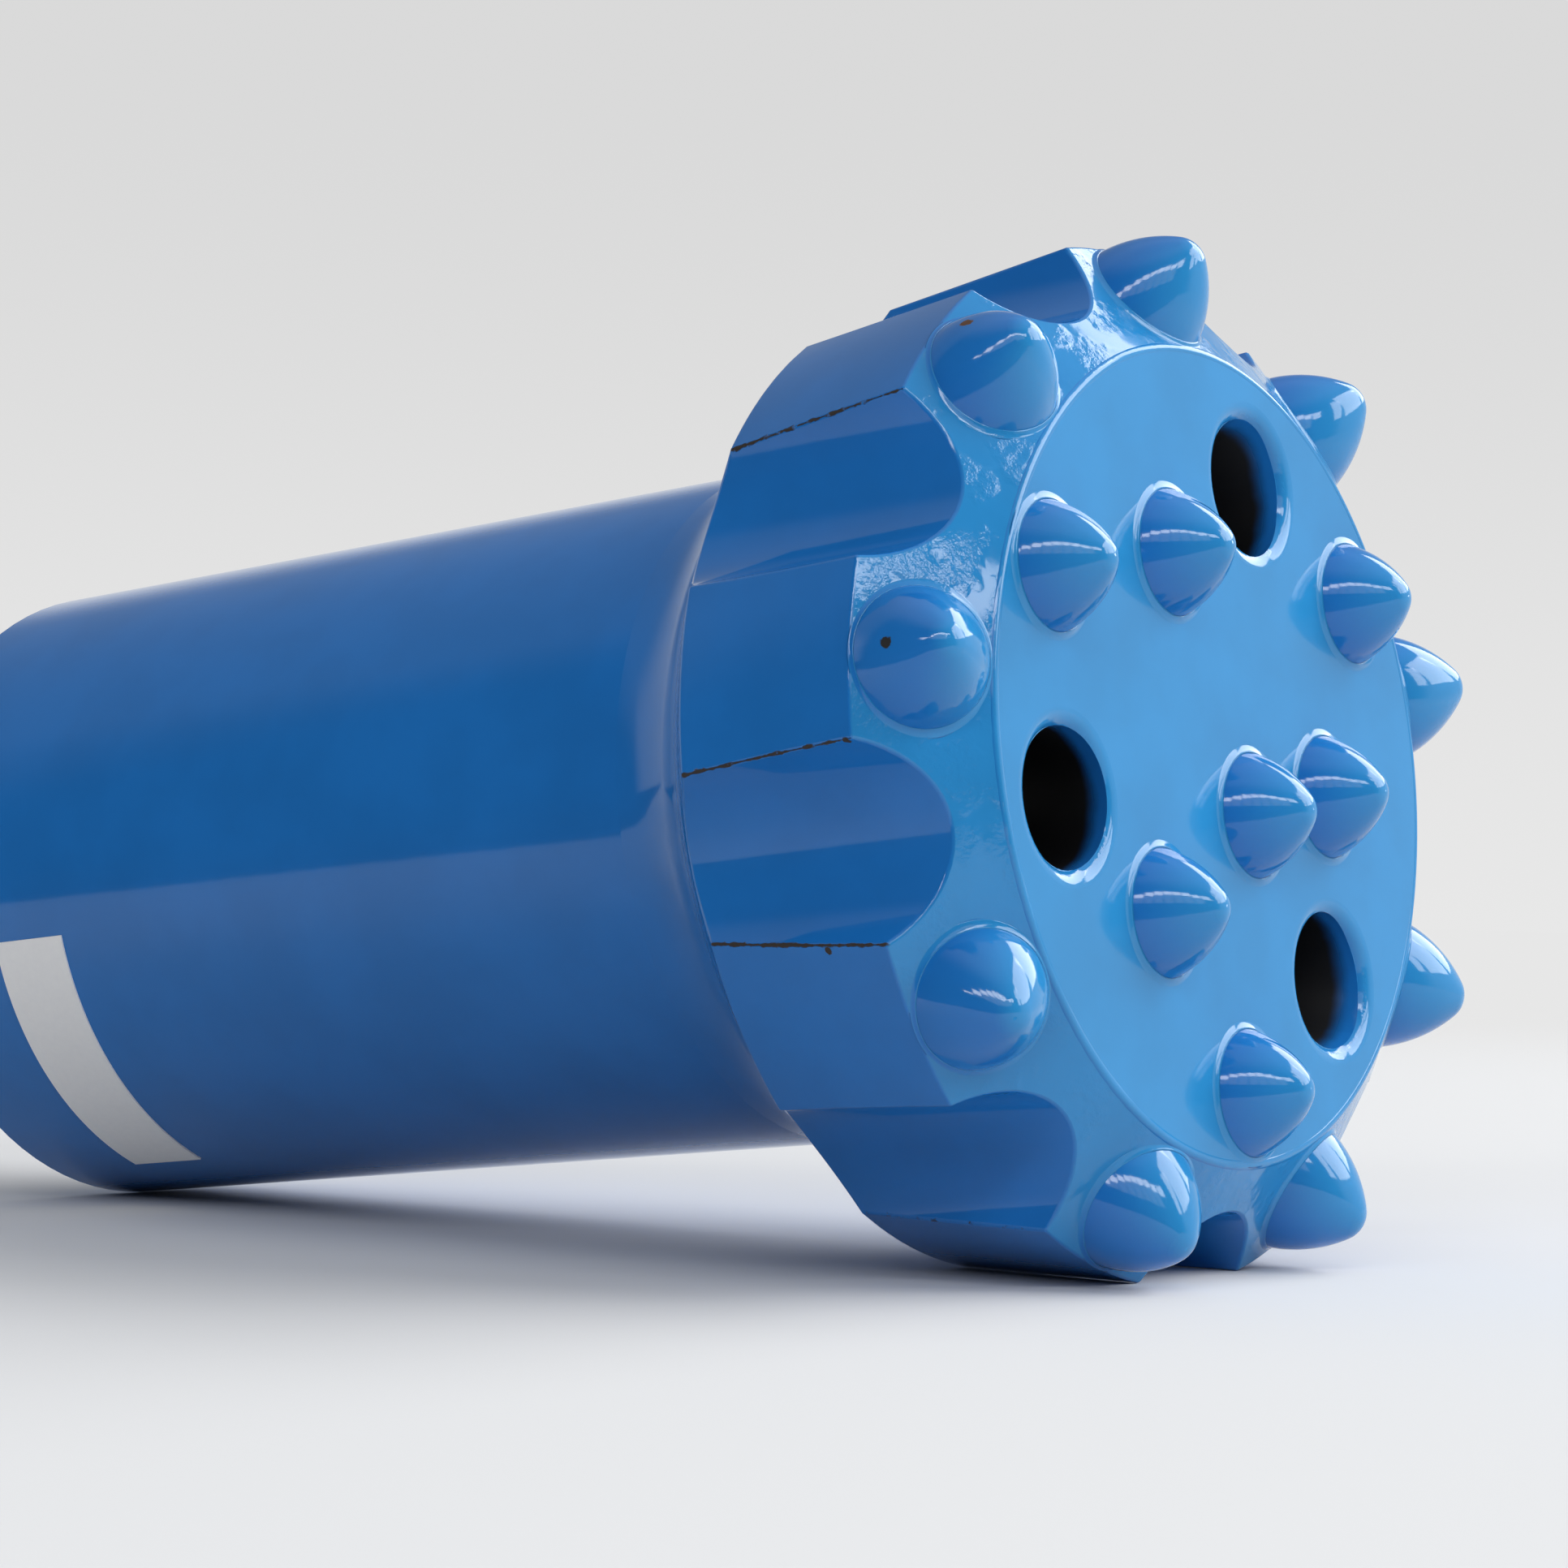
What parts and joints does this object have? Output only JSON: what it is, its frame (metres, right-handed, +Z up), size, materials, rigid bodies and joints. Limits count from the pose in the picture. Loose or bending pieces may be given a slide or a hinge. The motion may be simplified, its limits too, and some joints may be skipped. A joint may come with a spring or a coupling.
{
  "type": "button drill bit",
  "caption": "Blue-enamelled top-hammer button drill bit: fluted steel head with domed carbide buttons, flushing holes and a threaded socket for a drill rod.",
  "frame": {"origin": "on the floor, below the middle of the lying bit (middle of its bounding box in X and Y, bottom in Z)", "axes": "+Z up; +X towards the cutting face along the floor (the bit's own axis rises 6.2 degrees towards +X as it lies); +Y to the left of someone looking along +X"},
  "size_m": [0.16, 0.1006, 0.1002],
  "materials": {
    "blue_enamel": "glossy sprayed blue enamel over forged and machined steel, worn to dark metal along a few edges",
    "enamelled_button": "the same glossy blue enamel sprayed over polished cemented carbide",
    "label_paper": "bare matt grey-white paper"
  },
  "bodies": {
    "root": {"bit_body": "blue_enamel", "gauge_button_1": "enamelled_button", "gauge_button_2": "enamelled_button", "gauge_button_3": "enamelled_button", "gauge_button_4": "enamelled_button", "gauge_button_5": "enamelled_button", "gauge_button_6": "enamelled_button", "gauge_button_7": "enamelled_button", "gauge_button_8": "enamelled_button", "gauge_button_9": "enamelled_button", "face_button_1": "enamelled_button", "face_button_2": "enamelled_button", "face_button_3": "enamelled_button", "face_button_4": "enamelled_button", "face_button_5": "enamelled_button", "face_button_6": "enamelled_button", "face_button_7": "enamelled_button", "paper_label": "label_paper"}
  },
  "joints": []
}
